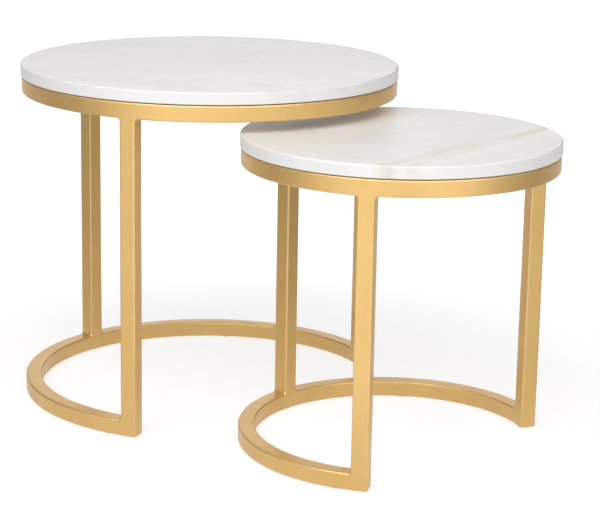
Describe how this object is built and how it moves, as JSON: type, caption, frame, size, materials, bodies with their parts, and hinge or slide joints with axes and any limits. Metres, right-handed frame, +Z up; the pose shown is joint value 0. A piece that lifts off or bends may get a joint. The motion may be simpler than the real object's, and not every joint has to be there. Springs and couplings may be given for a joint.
{
  "type": "nesting tables",
  "caption": "Round nesting side tables with marble tops on gold square-tube ring frames; the smaller slides out from under the larger through its open base.",
  "frame": {"origin": "on the floor, at the middle of the pair's overall footprint as the pair stands", "axes": "+X from the large table to the small one, the way the small table pulls out; +Z up"},
  "size_m": [0.7469, 0.48, 0.43],
  "materials": {
    "white_marble": "polished",
    "gold_frame": "satin",
    "zinc_steel": "satin",
    "insert_brass": "satin",
    "clear_pad": "satin",
    "white_nylon": "matte"
  },
  "bodies": {
    "large_table": {"large_marble_top": "white_marble", "large_top_ring": "gold_frame", "large_left_leg": "gold_frame", "large_right_leg": "gold_frame", "large_back_leg": "gold_frame", "large_base_arc": "gold_frame", "large_left_foot_cap": "gold_frame", "large_right_foot_cap": "gold_frame", "large_front_left_tab": "gold_frame", "large_front_right_tab": "gold_frame", "large_rear_left_tab": "gold_frame", "large_rear_right_tab": "gold_frame", "large_top_screws": "zinc_steel", "large_screw_washers": "zinc_steel", "large_threaded_inserts": "insert_brass", "large_top_bumpers": "clear_pad", "large_floor_glides": "white_nylon"},
    "small_table": {"small_marble_top": "white_marble", "small_top_ring": "gold_frame", "small_left_leg": "gold_frame", "small_right_leg": "gold_frame", "small_back_leg": "gold_frame", "small_base_arc": "gold_frame", "small_left_foot_cap": "gold_frame", "small_right_foot_cap": "gold_frame", "small_front_left_tab": "gold_frame", "small_front_right_tab": "gold_frame", "small_rear_left_tab": "gold_frame", "small_rear_right_tab": "gold_frame", "small_top_screws": "zinc_steel", "small_screw_washers": "zinc_steel", "small_threaded_inserts": "insert_brass", "small_top_bumpers": "clear_pad", "small_floor_glides": "white_nylon"}
  },
  "joints": [
    {"name": "nesting_slide", "type": "slide", "parent": "large_table", "child": "small_table", "axis": [1, 0, 0], "range_m": [-0.3455, 0.183]}
  ]
}
